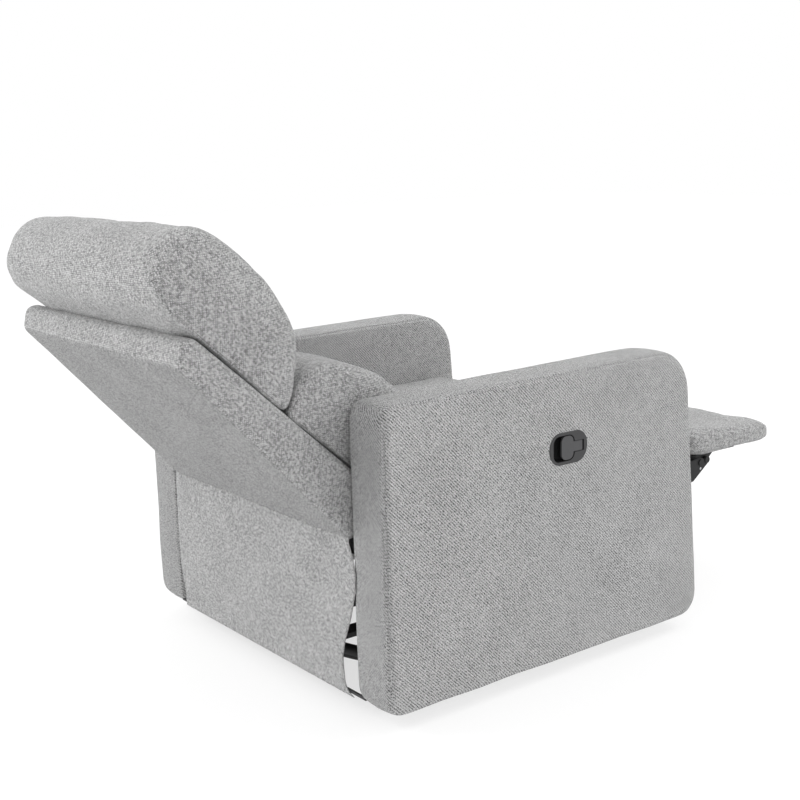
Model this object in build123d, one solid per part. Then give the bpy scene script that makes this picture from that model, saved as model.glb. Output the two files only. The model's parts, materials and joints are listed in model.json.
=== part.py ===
from build123d import *
import math
import os

# Glider nursery recliner, modelled reclined with its footrest out.
# Millimetres. X to the occupant's left, -Y the way the chair faces, +Z up.
# Origin: the swivel axis at floor level.

# ---- Driving dimensions -------------------------------------------------
FIT = 0.05                     # radial clearance of every pivot
GAP = 0.4                      # clearance between a soft part and its neighbour

# Arms
ARM_OUTER_X = 406.0
ARM_INNER_X = 310.0
ARM_HALF_DEPTH = 379.0
ARM_BOTTOM_Z = 29.0
ARM_FRONT_TOP_Y = -338.0       # the front edge leans back towards its top
ARM_FRONT_TOP_Z = 570.0
ARM_REAR_TOP_Z = 559.0
ARM_FRONT_TOP_RADIUS = 87.0
ARM_FRONT_BOTTOM_RADIUS = 40.0
ARM_REAR_TOP_RADIUS = 24.0
ARM_REAR_BOTTOM_RADIUS = 34.0
ARM_EDGE_RADIUS = 13.0
ARM_PANEL_THICKNESS = 18.0
ARM_PANEL_INSET = 42.0
ARM_PANEL_COVER = 8.0          # padding between the panel and the inner face

# Release handle, on the outer face of the right arm
HANDLE_Y = -20.0
HANDLE_Z = 427.0
BEZEL_LENGTH = 93.0
BEZEL_HEIGHT = 60.0
BEZEL_LIP = 3.0
DISH_DEPTH = 20.0
DISH_WALL = 2.2

# Seat
SEAT_FRONT_Y = -320.0
SEAT_REAR_Y = 72.0
SEAT_REAR_LEAN = 26.0          # the rear face leans back towards its top
SEAT_BOTTOM_Z = 304.0
SEAT_CHAMFER = 80.0            # clears the footrest's linkage when it is folded
SEAT_TOP_Z = 432.0
SEAT_HALF_WIDTH = 306.0
RAIL_TOP_Z = 300.0
RAIL_HEIGHT = 34.0
RAIL_OUTER_X = 272.0
RAIL_WIDTH = 24.0
SEAT_RAIL_FRONT_Y = -300.0
SEAT_RAIL_REAR_Y = 100.0

# Back, in its reclined place; S runs up the cushion seam, T is square to it
BACK_HALF_WIDTH = 306.0
BACK_SEAM_LOW = (381.0, 444.0)
BACK_SEAM_HIGH = (649.0, 687.0)
BACK_REAR_LOW = (379.0, 317.0)
BACK_REAR_HIGH = (677.0, 650.0)
BACK_TOP_CORNER = (667.0, 684.0)
BACK_PIVOT = (300.0, 290.0)
BACK_PIN_RADIUS = 6.0

# Footrest linkage, side view (Y, Z), footrest extended
MAIN_PIVOT = (-73.1, 229.95)           # main link on the mechanism plate
CONTROL_PIVOT = (-20.27, 284.52)       # control link on the mechanism plate
MAIN_LENGTH = 145.16
MAIN_ANGLE = -2.7                      # degrees above the forward direction
MAIN_MIDDLE = 0.81                     # where the carrier link is pinned on the main link
CARRIER_LENGTH = 329.81
CARRIER_ANGLE = 12.0
CARRIER_HEEL = 39.78
CARRIER_HEEL_TURN = -74.2
PAD_PIVOT_REAR = (-33.96, -13.5)       # from the pad board's lower rear edge
PAD_PIVOT_FRONT = (-60.54, -12.86)
STRUT_ELBOW = (45.0, -32.0)            # the strut's bend, from its pad pivot
LINK_WIDTH = 20.0
LINK_PIN_RADIUS = 4.0
LOOP_PLAY = 1.3                        # extra hole radius where a closed loop is joined
STRUT_SLOPE = 35.4                     # of the strut's front part, above forward
STRUT_RIVET_REACH = 29.0               # from the elbow
CROSS_BAR_REACH = 150.0                # along the carrier link from its middle pivot
CROSS_BAR_RISE = 4.0                   # above the carrier's centre line
CROSS_BAR_RADIUS = 7.5

# Footrest pad, extended
PAD_REAR_Y = -479.0
PAD_FRONT_Y = -747.0
PAD_HALF_WIDTH = 300.0
BOARD_BOTTOM_Z = 306.0
BOARD_THICKNESS = 12.0
PAD_TOP_REAR_Z = 362.0
PAD_TOP_FRONT_Z = 340.0

# Glide linkage
GLIDE_Y = 150.0
GLIDE_TOP_Z = 165.0
GLIDE_BOTTOM_Z = 75.0
GLIDE_PIN_RADIUS = 5.0

# Swivel base
RING_RADIUS = 250.0
RING_TUBE_RADIUS = 11.0
FLOOR_STRIP_HEIGHT = 4.0      # rubber below the lowest point of the ring's tube
FLOOR_STRIP_TOP = 6.0
FLOOR_STRIP_HALF = 7.0


# ---- Helpers ------------------------------------------------------------
def save(name, *solids):
    """Writes one sub-part, which may be several separate solids."""
    os.makedirs("parts", exist_ok=True)
    shape = solids[0] if len(solids) == 1 else Compound(list(solids))
    export_step(shape, f"parts/{name}.step")


def outline(points, radii=0.0):
    """A face with the given corners, each rounded by its own radius."""
    if not isinstance(radii, (list, tuple)):
        radii = [radii] * len(points)
    face = make_face(Polyline(*points, close=True))
    for corner, radius in zip(points, radii):
        if radius > 0:
            nearest = min(face.vertices(), key=lambda v: math.dist((v.X, v.Y), corner))
            face = fillet(nearest, radius)
    return face


def across(face, x_low, x_high):
    """Extrudes a side-view face (Y, Z) from x_low to x_high."""
    placed = Plane.YZ.offset(x_low) * face
    return extrude(placed, x_high - x_low).solid()


def along(face, y_low, y_high):
    """Extrudes a front-view face (X, Z) from y_low to y_high."""
    placed = Plane(origin=(0, y_low, 0), x_dir=(1, 0, 0), z_dir=(0, -1, 0)) * face
    return extrude(placed, -(y_high - y_low)).solid()


def box(x_low, x_high, y_low, y_high, z_low, z_high):
    """A block from its two corners."""
    middle = Pos((x_low + x_high) / 2, (y_low + y_high) / 2, (z_low + z_high) / 2)
    return (middle * Box(x_high - x_low, y_high - y_low, z_high - z_low)).solid()


def pin(point, x_low, x_high, radius):
    """A round pin along X through a side-view point."""
    return across(Pos(*point) * Circle(radius), x_low, x_high)


def bar(stations, width, x_low, x_high, holes):
    """A flat link through side-view points; holes gives its (point, radius) pairs."""
    pieces = []
    for start, end in zip(stations[:-1], stations[1:]):
        length = math.dist(start, end)
        turn = math.degrees(math.atan2(end[1] - start[1], end[0] - start[0]))
        middle = Pos((start[0] + end[0]) / 2, (start[1] + end[1]) / 2)
        pieces.append(middle * Rot(0, 0, turn) * SlotCenterToCenter(length, width))
    face = pieces[0]
    for piece in pieces[1:]:
        face = face + piece
    link = across(face, x_low, x_high)
    for point, radius in holes:
        link = link - pin(point, x_low - 1, x_high + 1, radius)
    return link.solid()


def other_side(solid):
    """The same piece on the left of the chair."""
    return mirror(solid, about=Plane.YZ)


def both_sides(solids):
    """The pieces given on one side, and their mirror images."""
    return list(solids) + [other_side(s) for s in solids]


def back_point(s, t):
    """A side-view point from distances along and square to the back's seam line."""
    dy = BACK_SEAM_HIGH[0] - BACK_SEAM_LOW[0]
    dz = BACK_SEAM_HIGH[1] - BACK_SEAM_LOW[1]
    length = math.hypot(dy, dz)
    uy, uz = dy / length, dz / length
    return (BACK_SEAM_LOW[0] + s * uy - t * uz, BACK_SEAM_LOW[1] + s * uz + t * uy)


# ---- Swivel base --------------------------------------------------------
SPOKE_HEIGHT = 10.0
SPOKE_WIDTH = 40.0
RING_Z = FLOOR_STRIP_HEIGHT + RING_TUBE_RADIUS
LOWER_PLATE_TOP = RING_Z + SPOKE_HEIGHT / 2 + 5.0
BALL_RADIUS = 4.0
UPPER_PLATE_BOTTOM = LOWER_PLATE_TOP + 2 * BALL_RADIUS
UPPER_PLATE_TOP = UPPER_PLATE_BOTTOM + 5.0
SWIVEL_HOLE = 9.0


def make_base():
    ring = Pos(0, 0, RING_Z) * Torus(RING_RADIUS, RING_TUBE_RADIUS)
    ring = ring.solid()
    half = SPOKE_WIDTH / 2
    low, high = RING_Z - SPOKE_HEIGHT / 2, RING_Z + SPOKE_HEIGHT / 2
    cross = box(-RING_RADIUS, RING_RADIUS, -half, half, low, high)
    cross = cross + box(-half, half, -RING_RADIUS, RING_RADIUS, low, high)
    cross = (cross - ring) & (Pos(0, 0, RING_Z) * Cylinder(RING_RADIUS - 2, 40))
    cross = cross.solid()
    save("base_ring", ring)
    save("base_spokes", cross)
    strip = Pos(0, 0, FLOOR_STRIP_HEIGHT) * (
        Cylinder(RING_RADIUS + FLOOR_STRIP_HALF, 2 * FLOOR_STRIP_HEIGHT)
        - Cylinder(RING_RADIUS - FLOOR_STRIP_HALF, 2 * FLOOR_STRIP_HEIGHT))
    strip = strip & (Pos(0, 0, FLOOR_STRIP_TOP / 2) * Cylinder(2 * RING_RADIUS, FLOOR_STRIP_TOP))
    save("floor_strip", (strip - ring).solids().sort_by(Axis.Z)[0])
    plate_low = Pos(0, 0, LOWER_PLATE_TOP - 2.5) * Cylinder(80.0, 5.0)
    bolt_radius = SWIVEL_HOLE - FIT
    plate_low = plate_low - Pos(0, 0, LOWER_PLATE_TOP) * Cylinder(bolt_radius, 30.0)
    groove = Pos(0, 0, LOWER_PLATE_TOP + BALL_RADIUS) * Torus(62.0, BALL_RADIUS + 0.4)
    save("swivel_lower_plate", (plate_low - groove).solid())
    balls = []
    for i in range(16):
        angle = math.radians(360 / 16 * i)
        centre = Pos(62.0 * math.cos(angle), 62.0 * math.sin(angle),
                     LOWER_PLATE_TOP + BALL_RADIUS - 0.3)
        balls.append((centre * Sphere(BALL_RADIUS)).solid())
    save("swivel_balls", *balls)
    shank_low = LOWER_PLATE_TOP - 5.0
    shank_high = UPPER_PLATE_TOP + 0.6
    bolt = Pos(0, 0, (shank_low + shank_high) / 2) * Cylinder(bolt_radius, shank_high - shank_low)
    head = Pos(0, 0, shank_high + 3.0) * Cylinder(15.0, 6.0)
    save("swivel_pivot_bolt", (bolt + head).solid())


# ---- Turntable ----------------------------------------------------------
TURN_RAIL_TOP = UPPER_PLATE_TOP + 12.0
POST_INNER_X = 228.0
POST_OUTER_X = 233.0
LINK_INNER_X = 219.0
LINK_OUTER_X = 224.0
HANGER_INNER_X = 211.0
HANGER_OUTER_X = 216.0
GLIDE_LINK_WIDTH = 24.0


def make_turntable():
    plate = Pos(0, 0, UPPER_PLATE_BOTTOM + 2.5) * Box(190, 190, 5)
    plate = plate - Pos(0, 0, UPPER_PLATE_BOTTOM) * Cylinder(SWIVEL_HOLE, 30)
    groove = Pos(0, 0, LOWER_PLATE_TOP + BALL_RADIUS) * Torus(62.0, BALL_RADIUS + 0.4)
    save("swivel_upper_plate", (plate - groove).solid())
    rails = [box(side * 70 - 15, side * 70 + 15, -GLIDE_Y - 15, GLIDE_Y + 15,
                 UPPER_PLATE_TOP, TURN_RAIL_TOP) for side in (-1, 1)]
    save("swivel_rails", *rails)
    cross = []
    for y in (-GLIDE_Y, GLIDE_Y):
        for side in (-1, 1):
            ends = sorted((side * 85.0, side * POST_OUTER_X))
            cross.append(box(ends[0], ends[1], y - 15, y + 15, UPPER_PLATE_TOP, TURN_RAIL_TOP))
    save("swivel_arms", *cross)
    posts, pins = [], []
    for y in (-GLIDE_Y, GLIDE_Y):
        face = outline([(y - 15, TURN_RAIL_TOP), (y + 15, TURN_RAIL_TOP),
                        (y + 15, GLIDE_TOP_Z + 14), (y - 15, GLIDE_TOP_Z + 14)], [0, 0, 12, 12])
        hole = pin((y, GLIDE_TOP_Z), POST_INNER_X - 1, POST_OUTER_X + 1, GLIDE_PIN_RADIUS)
        posts.append((across(face, POST_INNER_X, POST_OUTER_X) - hole).solid())
        pins.append(glide_pin(y, GLIDE_TOP_Z, LINK_INNER_X - 0.5, POST_OUTER_X, 1.6, 4.0))
    save("glide_posts", *both_sides(posts))
    save("glide_upper_pins", *both_sides(pins))


def glide_pin(y, z, x_low, x_high, low_head, high_head):
    """A shouldered glide pin on the left side, with heads of two thicknesses."""
    shank = pin((y, z), x_low, x_high, GLIDE_PIN_RADIUS)
    inner = pin((y, z), x_low - low_head, x_low, GLIDE_PIN_RADIUS + 3)
    outer = pin((y, z), x_high, x_high + high_head, GLIDE_PIN_RADIUS + 3)
    return (shank + inner + outer).solid()


def make_glide_links():
    for name, y in (("front_glide_links", -GLIDE_Y), ("rear_glide_links", GLIDE_Y)):
        stations = [(y, GLIDE_TOP_Z), (y, GLIDE_BOTTOM_Z)]
        holes = [(station, GLIDE_PIN_RADIUS + FIT) for station in stations]
        link = bar(stations, GLIDE_LINK_WIDTH, LINK_INNER_X, LINK_OUTER_X, holes)
        save(name, link, other_side(link))


# ---- Chassis ------------------------------------------------------------
GLIDE_RAIL_INNER_X = 200.0
GLIDE_RAIL_LOW_Z = 140.0
GLIDE_RAIL_HIGH_Z = 154.0
PLATE_INNER_X = 304.0
PLATE_OUTER_X = 308.0
CROSS_TUBE = 24.0
CROSS_TUBE_Y = (-12.0, 58.0)


def make_glide_frame():
    rail = box(GLIDE_RAIL_INNER_X, HANGER_INNER_X, -230, 300, GLIDE_RAIL_LOW_Z, GLIDE_RAIL_HIGH_Z)
    save("glide_side_rails", rail, other_side(rail))
    hangers, pins = [], []
    for y in (-GLIDE_Y, GLIDE_Y):
        face = outline([(y - 22, GLIDE_RAIL_HIGH_Z), (y + 22, GLIDE_RAIL_HIGH_Z),
                        (y + 13, GLIDE_BOTTOM_Z - 13), (y - 13, GLIDE_BOTTOM_Z - 13)], [0, 0, 10, 10])
        hole = pin((y, GLIDE_BOTTOM_Z), HANGER_INNER_X - 1, HANGER_OUTER_X + 1, GLIDE_PIN_RADIUS)
        hangers.append((across(face, HANGER_INNER_X, HANGER_OUTER_X) - hole).solid())
        pins.append(glide_pin(y, GLIDE_BOTTOM_Z, HANGER_INNER_X, LINK_OUTER_X + 0.5, 4.0, 1.6))
    save("glide_hangers", *both_sides(hangers))
    save("glide_lower_pins", *both_sides(pins))
    tubes = []
    for y in CROSS_TUBE_Y:
        low = GLIDE_RAIL_HIGH_Z
        tube = box(-PLATE_INNER_X, PLATE_INNER_X, y, y + CROSS_TUBE, low, low + CROSS_TUBE)
        wall = 2.0
        bore = box(-PLATE_INNER_X - 1, PLATE_INNER_X + 1, y + wall, y + CROSS_TUBE - wall,
                   low + wall, low + CROSS_TUBE - wall)
        tubes.append((tube - bore).solid())
    save("chassis_cross_tubes", *tubes)


BACK_BOSS_RADIUS = 18.0
BOLT_POINTS = ((-85.0, 185.0), (30.0, 280.0), (30.0, 175.0), (235.0, 238.0))
BOLT_RADIUS = 3.0
BOLT_HEAD_HEIGHT = 1.6        # low, so that the folding main link passes over it
BOLT_HEAD_RADIUS = 7.0


def make_mechanism_plates():
    corners = [(-120, 200), (-120, 252), (-68, 300), (56, 300), (86, 262), (262, 262),
               (278, 308), (318, 308), (322, 268), (285, 220), (150, 150), (-70, 150)]
    face = outline(corners, [12, 12, 14, 14, 14, 14, 14, 14, 14, 30, 30, 30])
    plate = across(face, PLATE_INNER_X, PLATE_OUTER_X)
    holes = [(MAIN_PIVOT, LINK_PIN_RADIUS), (CONTROL_PIVOT, LINK_PIN_RADIUS),
             (BACK_PIVOT, BACK_PIN_RADIUS + FIT)]
    holes += [(point, BOLT_RADIUS) for point in BOLT_POINTS]
    for point, radius in holes:
        plate = plate - pin(point, PLATE_INNER_X - 1, PLATE_OUTER_X + 1, radius)
    plate = plate.solid()
    save("mechanism_plate_left", plate)
    save("mechanism_plate_right", other_side(plate))
    bolts = []
    for point in BOLT_POINTS:
        shank = pin(point, PLATE_INNER_X, ARM_INNER_X + 20, BOLT_RADIUS)
        head = pin(point, PLATE_INNER_X - BOLT_HEAD_HEIGHT, PLATE_INNER_X, BOLT_HEAD_RADIUS)
        bolts.append((shank + head).solid())
    save("arm_bolts", *both_sides(bolts))


def make_seat_frame():
    low, high = RAIL_TOP_Z - RAIL_HEIGHT, RAIL_TOP_Z
    inner = RAIL_OUTER_X - RAIL_WIDTH
    side = box(inner, RAIL_OUTER_X, SEAT_RAIL_FRONT_Y, SEAT_RAIL_REAR_Y, low, high)
    save("seat_side_rails", side, other_side(side))
    front = box(-inner, inner, SEAT_RAIL_FRONT_Y, SEAT_RAIL_FRONT_Y + RAIL_WIDTH, low, high)
    rear = box(-inner, inner, SEAT_RAIL_REAR_Y - RAIL_WIDTH, SEAT_RAIL_REAR_Y, low, high)
    save("seat_end_rails", front, rear)
    risers = []
    for y in CROSS_TUBE_Y:
        riser = box(inner, RAIL_OUTER_X, y, y + CROSS_TUBE, GLIDE_RAIL_HIGH_Z + CROSS_TUBE, low)
        wall = 2.0
        channel = box(inner + wall, RAIL_OUTER_X - wall, y - 1, y + CROSS_TUBE - wall,
                      GLIDE_RAIL_HIGH_Z + CROSS_TUBE - 1, low + 1)
        risers.append((riser - channel).solid())
    save("seat_risers", *both_sides(risers))


SPRING_WIRE = 1.9
SPRING_PITCH = 22.0
SPRING_HALF = 22.0


def zigzag(start, end, place):
    """A sinuous spring in the XY plane along Y, moved by place."""
    count = int((end - start) / SPRING_PITCH) // 2 * 2
    pitch = (end - start - 20.0) / count
    points = [(0, start), (0, start + 10.0)]
    for i in range(count):
        side = SPRING_HALF if i % 2 == 0 else -SPRING_HALF
        y = start + 10.0 + i * pitch
        points += [(side, y), (side, y + pitch)]
    points += [(0, end - 10.0), (0, end)]
    path = FilletPolyline(*points, radius=4.6)
    path = Plane.XY * path
    section = Plane(origin=path @ 0, z_dir=path % 0) * Circle(SPRING_WIRE)
    return (place * sweep(section, path=path)).solid()


def make_seat_springs():
    front = SEAT_RAIL_FRONT_Y + RAIL_WIDTH
    rear = SEAT_RAIL_REAR_Y - RAIL_WIDTH
    springs = [zigzag(front, rear, Pos(x, 0, 293.0)) for x in (-200, -100, 0, 100, 200)]
    save("seat_springs", *springs)


def make_seat_cushion():
    front, rear, low, high = SEAT_FRONT_Y, SEAT_REAR_Y, SEAT_BOTTOM_Z, SEAT_TOP_Z
    corners = [(front, high - 4), (front, low + SEAT_CHAMFER), (front + SEAT_CHAMFER, low), (rear, low),
               (rear + SEAT_REAR_LEAN, high)]
    face = outline(corners, [36, 14, 10, 10, 30])
    cushion = across(face, -SEAT_HALF_WIDTH, SEAT_HALF_WIDTH)
    save("seat_cushion", cushion)
    cloth = outline([(100.5, 298), (280, 238), (280, 236), (100.5, 296)])
    save("crevice_cloth", across(cloth, -298, 298))


# ---- Arms ---------------------------------------------------------------
def arm_face():
    corners = [(-ARM_HALF_DEPTH, ARM_BOTTOM_Z), (ARM_FRONT_TOP_Y, ARM_FRONT_TOP_Z),
               (ARM_HALF_DEPTH, ARM_REAR_TOP_Z), (ARM_HALF_DEPTH, ARM_BOTTOM_Z)]
    radii = [ARM_FRONT_BOTTOM_RADIUS, ARM_FRONT_TOP_RADIUS, ARM_REAR_TOP_RADIUS,
             ARM_REAR_BOTTOM_RADIUS]
    return outline(corners, radii)


def make_arms():
    body = across(arm_face(), ARM_INNER_X, ARM_OUTER_X)
    body = fillet(body.faces().sort_by(Axis.X)[-1].edges(), ARM_EDGE_RADIUS)
    body = fillet(body.faces().sort_by(Axis.X)[0].edges(), 6.0)
    inset = ARM_PANEL_INSET
    corners = [(-ARM_HALF_DEPTH + inset, ARM_BOTTOM_Z + inset),
               (ARM_FRONT_TOP_Y + inset, ARM_FRONT_TOP_Z - inset),
               (ARM_HALF_DEPTH - inset, ARM_REAR_TOP_Z - inset),
               (ARM_HALF_DEPTH - inset, ARM_BOTTOM_Z + inset)]
    face = outline(corners, [20, 60, 12, 12])
    panel_low = ARM_INNER_X + ARM_PANEL_COVER
    panel_high = panel_low + ARM_PANEL_THICKNESS
    panel = across(face, panel_low, panel_high)
    cover = body - panel
    for point in BOLT_POINTS:
        hole = pin(point, ARM_INNER_X - 1, ARM_INNER_X + 20, BOLT_RADIUS)
        panel = panel - hole
        cover = cover - hole
    panel, cover = panel.solid(), cover.solid()
    save("arm_panel_left", panel)
    save("arm_panel_right", other_side(panel))
    save("arm_cover_left", cover)
    right = other_side(cover)
    pocket = across(Pos(HANDLE_Y, HANDLE_Z) * RectangleRounded(BEZEL_LENGTH - 5, BEZEL_HEIGHT - 5, 25),
                    -ARM_OUTER_X - 2, -ARM_OUTER_X + DISH_DEPTH + DISH_WALL)
    save("arm_cover_right", (right - pocket).solid())


# ---- Release handle -----------------------------------------------------
PADDLE_PIVOT_X = -400.0
PADDLE_PIVOT_Y = HANDLE_Y - 30.0
PADDLE_PIN_RADIUS = 2.0
DISH_REAR_Y = HANDLE_Y + 37.5
HEAD_REAR_Y = HANDLE_Y + 17.0
HEAD_FRONT_Y = HANDLE_Y - 14.5
TONGUE_FRONT_Y = HANDLE_Y - 36.0
DISH_HALF_HEIGHT = 23.5
TONGUE_HALF_HEIGHT = 9.0


def make_handle():
    face_x = -ARM_OUTER_X - BEZEL_LIP
    lip = across(Pos(HANDLE_Y, HANDLE_Z) * RectangleRounded(BEZEL_LENGTH, BEZEL_HEIGHT, 28),
                 face_x, -ARM_OUTER_X)
    lip = fillet(lip.faces().sort_by(Axis.X)[0].edges(), 2.0)
    body = across(Pos(HANDLE_Y, HANDLE_Z) * RectangleRounded(BEZEL_LENGTH - 6, BEZEL_HEIGHT - 6, 25),
                  -ARM_OUTER_X, -ARM_OUTER_X + DISH_DEPTH + DISH_WALL - 0.5)
    bezel = lip + body
    dish_width = DISH_REAR_Y - HEAD_FRONT_Y
    dish = Pos(HEAD_FRONT_Y + dish_width / 2, HANDLE_Z) * RectangleRounded(
        dish_width, 2 * DISH_HALF_HEIGHT, 14)
    slot_front = TONGUE_FRONT_Y - 1.5
    slot_length = HEAD_FRONT_Y - slot_front + 20
    slot = Pos(slot_front + slot_length / 2, HANDLE_Z) * Rectangle(
        slot_length, 2 * TONGUE_HALF_HEIGHT + 2)
    hollow = across((dish + slot), face_x - 1, -ARM_OUTER_X + DISH_DEPTH - 1)
    bezel = bezel - hollow
    pin_place = Pos(PADDLE_PIVOT_X, PADDLE_PIVOT_Y, HANDLE_Z)
    pin_length = 2 * TONGUE_HALF_HEIGHT + 10
    hinge_pin = pin_place * Cylinder(PADDLE_PIN_RADIUS, pin_length)
    bezel = bezel - hinge_pin
    save("handle_bezel", bezel.solid())
    save("paddle_hinge_pin", hinge_pin.solid())
    front_x = face_x + 0.6
    head_width = HEAD_REAR_Y - HEAD_FRONT_Y - 2.6
    head = Pos(HEAD_REAR_Y - head_width / 2, HANDLE_Z) * RectangleRounded(
        head_width, 2 * DISH_HALF_HEIGHT - 4, 11)
    tongue_front = TONGUE_FRONT_Y + 2.2
    tongue_length = HEAD_REAR_Y - 12 - tongue_front
    tongue = Pos(tongue_front + tongue_length / 2, HANDLE_Z) * Rectangle(
        tongue_length, 2 * TONGUE_HALF_HEIGHT)
    paddle = across(head + tongue, front_x, front_x + 3.4)
    boss = pin_place * Cylinder(4.6, 2 * TONGUE_HALF_HEIGHT)
    rib = box(front_x + 2, PADDLE_PIVOT_X, PADDLE_PIVOT_Y - 3.0, PADDLE_PIVOT_Y + 4.5,
              HANDLE_Z - TONGUE_HALF_HEIGHT, HANDLE_Z + TONGUE_HALF_HEIGHT)
    paddle = paddle + boss + rib - pin_place * Cylinder(PADDLE_PIN_RADIUS + FIT, 40)
    save("release_paddle", paddle.solid())


# ---- Rear skirt ---------------------------------------------------------
SKIRT_Y = 380.0
SKIRT_THICKNESS = 3.0
SKIRT_EDGE = ((-306.0, 315.0, 0), (-320.0, 262.0, 30), (-292.0, 182.0, 90), (-267.0, 106.0, 60),
              (-265.0, 56.0, 12), (-288.0, 34.0, 0))      # right edge: x, z and corner radius
SKIRT_LEFT_X = 308.0


def make_skirt():
    corners = [(x, z) for x, z, _ in SKIRT_EDGE]
    corners += [(SKIRT_LEFT_X, SKIRT_EDGE[-1][1]), (SKIRT_LEFT_X, SKIRT_EDGE[0][1])]
    radii = [radius for _, _, radius in SKIRT_EDGE] + [8, 0]
    face = outline(corners, radii)
    save("rear_skirt", along(face, SKIRT_Y, SKIRT_Y + SKIRT_THICKNESS))
    rail = box(-326, 326, SKIRT_Y - 6.5, SKIRT_Y - 0.4, 37.5, 42.5)
    save("skirt_rail", fillet(rail.edges().filter_by(Axis.X), 1.5).solid())


# ---- Back ---------------------------------------------------------------
COVER_WALL = 4.0
SIDE_PANEL_OUTER_X = 296.5
SIDE_PANEL_THICKNESS = 18.0
BRACKET_TOP = (402.0, 412.0)


def back_outline():
    seam_low = back_point(-110, 0)
    corners = [BACK_REAR_LOW, BACK_REAR_HIGH, BACK_TOP_CORNER, BACK_SEAM_HIGH, seam_low]
    return outline(corners, [10, 10, 10, 6, 8])


def make_back():
    cover = across(back_outline(), -BACK_HALF_WIDTH, BACK_HALF_WIDTH)
    cavity_face = offset(back_outline(), -COVER_WALL, kind=Kind.INTERSECTION)
    inner_x = BACK_HALF_WIDTH - COVER_WALL
    cavity = across(cavity_face, -inner_x, inner_x)
    cover = cover - cavity
    bracket = bar([BACK_PIVOT, BRACKET_TOP], 26, SIDE_PANEL_OUTER_X + 0.3,
                  SIDE_PANEL_OUTER_X + 5.0, [(BACK_PIVOT, BACK_PIN_RADIUS)])
    slot = across(outline([(270, 300), (300, 270), (372, 350), (342, 380)]),
                  SIDE_PANEL_OUTER_X - 1, inner_x)
    cover = cover - slot - other_side(slot)
    save("back_cover", cover.solid())
    save("back_brackets", bracket, other_side(bracket))
    save("back_pivot_pins", *both_sides([back_pivot_pin()]))
    panel_face = offset(back_outline(), -COVER_WALL - 1.0, kind=Kind.INTERSECTION)
    panel = across(panel_face, SIDE_PANEL_OUTER_X - SIDE_PANEL_THICKNESS, SIDE_PANEL_OUTER_X)
    save("back_side_panels", panel, other_side(panel))
    half = SIDE_PANEL_OUTER_X - SIDE_PANEL_THICKNESS
    rails = []
    for s in (-85, 130, 318):
        corners = [back_point(s, -8), back_point(s + 22, -8), back_point(s + 22, -27),
                   back_point(s, -27)]
        rails.append(across(outline(corners), -half, half))
    save("back_rails", *rails)


def back_pivot_pin():
    """The left recline pivot pin, through the bracket and the mechanism plate."""
    shank = pin(BACK_PIVOT, SIDE_PANEL_OUTER_X, PLATE_OUTER_X + 0.2, BACK_PIN_RADIUS)
    inner = pin(BACK_PIVOT, SIDE_PANEL_OUTER_X - 4, SIDE_PANEL_OUTER_X, BACK_PIN_RADIUS + 4)
    outer = pin(BACK_PIVOT, PLATE_OUTER_X + 0.2, PLATE_OUTER_X + 1.5, BACK_PIN_RADIUS + 3)
    return (shank + inner + outer).solid()


def make_back_springs():
    springs = []
    for x in (-180, -60, 60, 180):
        flat = zigzag(0, 193, Pos(0, 0, 0))
        low = back_point(-63, -20)
        turn = math.degrees(math.atan2(BACK_SEAM_HIGH[1] - BACK_SEAM_LOW[1],
                                       BACK_SEAM_HIGH[0] - BACK_SEAM_LOW[0]))
        springs.append((Pos(x, low[0], low[1]) * Rot(turn, 0, 0) * flat).solid())
    save("back_springs", *springs)


def make_back_cushions():
    lumbar = [(-203, GAP), (149, GAP), (162, 80), (130, 122), (70, 146), (-20, 166),
              (-120, 168), (-201, 152)]
    face = outline([back_point(s, t) for s, t in lumbar], [30, 8, 16, 40, 60, 60, 60, 38])
    save("lumbar_cushion", across(face, -BACK_HALF_WIDTH, BACK_HALF_WIDTH))
    headrest = [(152, GAP), (392, GAP), (425, 3), (470, 20), (494, 75), (478, 134),
                (400, 143), (300, 138), (215, 122), (166, 80)]
    face = outline([back_point(s, t) for s, t in headrest],
                   [8, 10, 30, 30, 40, 30, 60, 60, 60, 14])
    pillow = across(face, -BACK_HALF_WIDTH, BACK_HALF_WIDTH)
    pillow = fillet(pillow.faces().filter_by(Axis.X).edges(), 7.0)
    save("headrest_cushion", pillow.solid())


# ---- Footrest -----------------------------------------------------------
MAIN_LAYER = (298.0, 302.0)
CARRIER_LAYER = (292.0, 296.0)
STRUT_LAYER = (286.0, 290.0)
BRACKET_LAYER = (280.0, 284.0)


def forward(start, reach, angle):
    """A side-view point at a distance from start, angle degrees above forward."""
    turn = math.radians(angle)
    return (start[0] - reach * math.cos(turn), start[1] + reach * math.sin(turn))


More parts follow.
